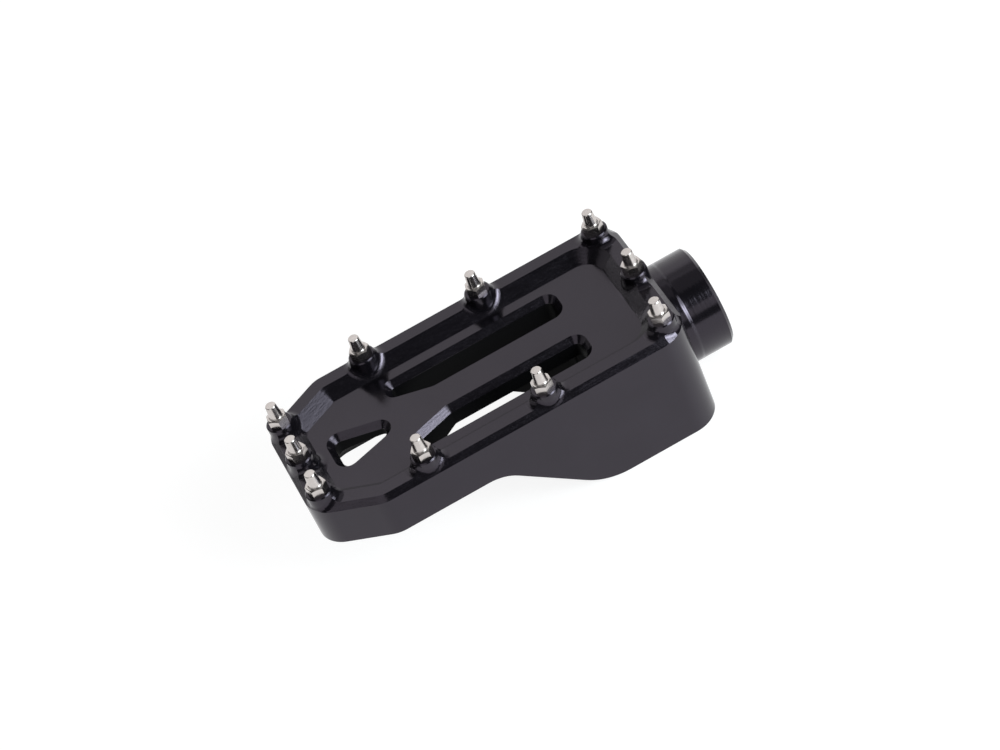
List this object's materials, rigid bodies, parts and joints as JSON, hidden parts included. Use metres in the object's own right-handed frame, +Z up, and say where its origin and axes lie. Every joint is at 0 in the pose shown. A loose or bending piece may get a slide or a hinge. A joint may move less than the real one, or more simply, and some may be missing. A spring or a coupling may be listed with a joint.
{
  "type": "motorcycle brake pedal",
  "caption": "Flat milled brake pedal with a raised rim, screwed-in traction pins, through slots and a round barrel that bolts to the brake arm.",
  "frame": {"origin": "centre of the mounting barrel's end face", "axes": "+X out of the barrel's mouth, towards the brake arm; the pedal lies at negative X; +Z up, towards the sole of the boot; the toe end is at the lowest X"},
  "size_m": [0.1201, 0.0534, 0.0439],
  "materials": {
    "anodised_aluminium": "machined, bead-blasted and black anodised, semi-gloss",
    "pin_steel": "turned stainless steel"
  },
  "bodies": {
    "root": {"pedal_body": "anodised_aluminium", "pin_toe_middle": "pin_steel", "pin_heel_middle": "pin_steel", "pin_rear_inner": "pin_steel", "pin_rear_outer": "pin_steel", "pin_toe_rear": "pin_steel", "pin_heel_rear": "pin_steel", "pin_front_inner": "pin_steel", "pin_front_outer": "pin_steel", "pin_toe_front": "pin_steel", "pin_heel_front": "pin_steel"}
  },
  "joints": []
}
